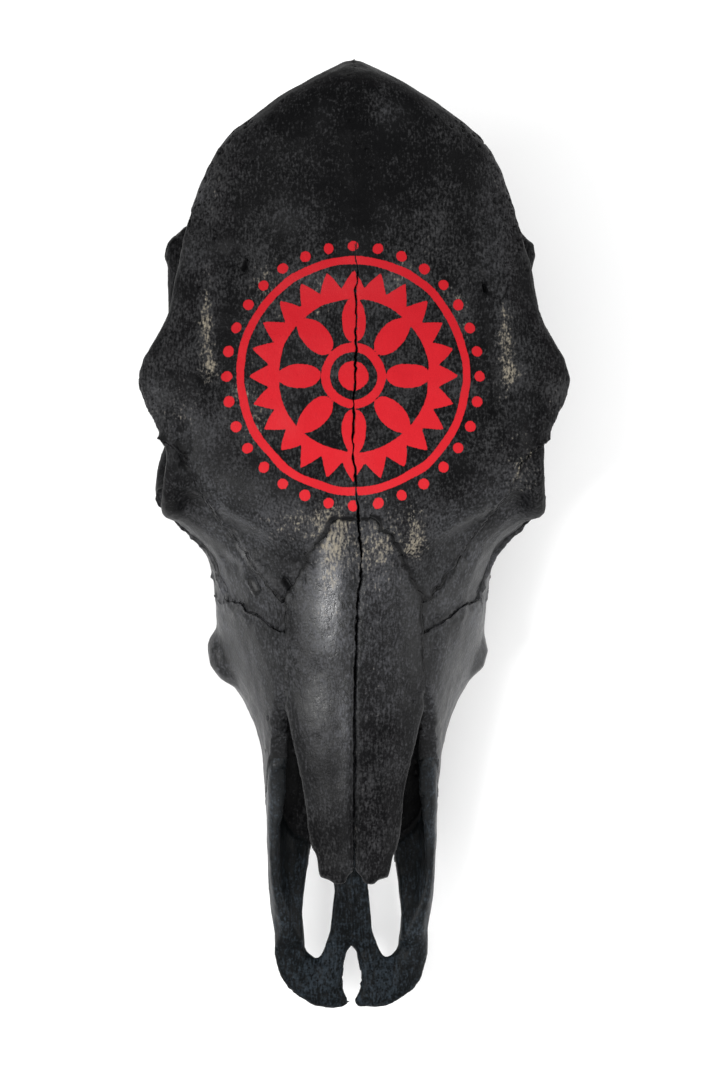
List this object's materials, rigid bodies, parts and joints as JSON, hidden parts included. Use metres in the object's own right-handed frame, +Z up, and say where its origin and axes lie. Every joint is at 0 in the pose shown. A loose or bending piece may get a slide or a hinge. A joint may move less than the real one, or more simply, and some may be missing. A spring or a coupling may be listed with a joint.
{
  "type": "cow skull",
  "caption": "Life-size skull of a hornless cow without its lower jaw, its bone stained black, resting on its cheek teeth.",
  "frame": {"origin": "middle of the skull's box at the floor it rests on", "axes": "+X towards the skull's left side, +Y from the nose towards the poll, +Z up"},
  "size_m": [0.2204, 0.4768, 0.1861],
  "materials": {
    "frontal bone": "matt, black-stained bone, fine grain, painted in red in the middle",
    "nasal bone": "satin, black-stained bone, worn paler along its top",
    "incisive bone": "satin, black-stained bone",
    "cheek and socket bone": "matt, black-stained bone, worn tan at the rims of the sockets",
    "upper jaw bone and teeth": "satin, black-stained bone and teeth",
    "base bone": "matt, black-stained bone"
  },
  "bodies": {
    "root": {"frontal_left": "frontal bone", "frontal_right": "frontal bone", "nasal_left": "nasal bone", "nasal_right": "nasal bone", "incisive_left": "incisive bone", "incisive_right": "incisive bone", "lacrimal_left": "cheek and socket bone", "lacrimal_right": "cheek and socket bone", "zygomatic_left": "cheek and socket bone", "zygomatic_right": "cheek and socket bone", "maxilla_left": "upper jaw bone and teeth", "maxilla_right": "upper jaw bone and teeth", "palatine_left": "base bone", "palatine_right": "base bone", "temporal_left": "base bone", "temporal_right": "base bone", "occipital": "base bone", "braincase": "base bone"}
  },
  "joints": []
}
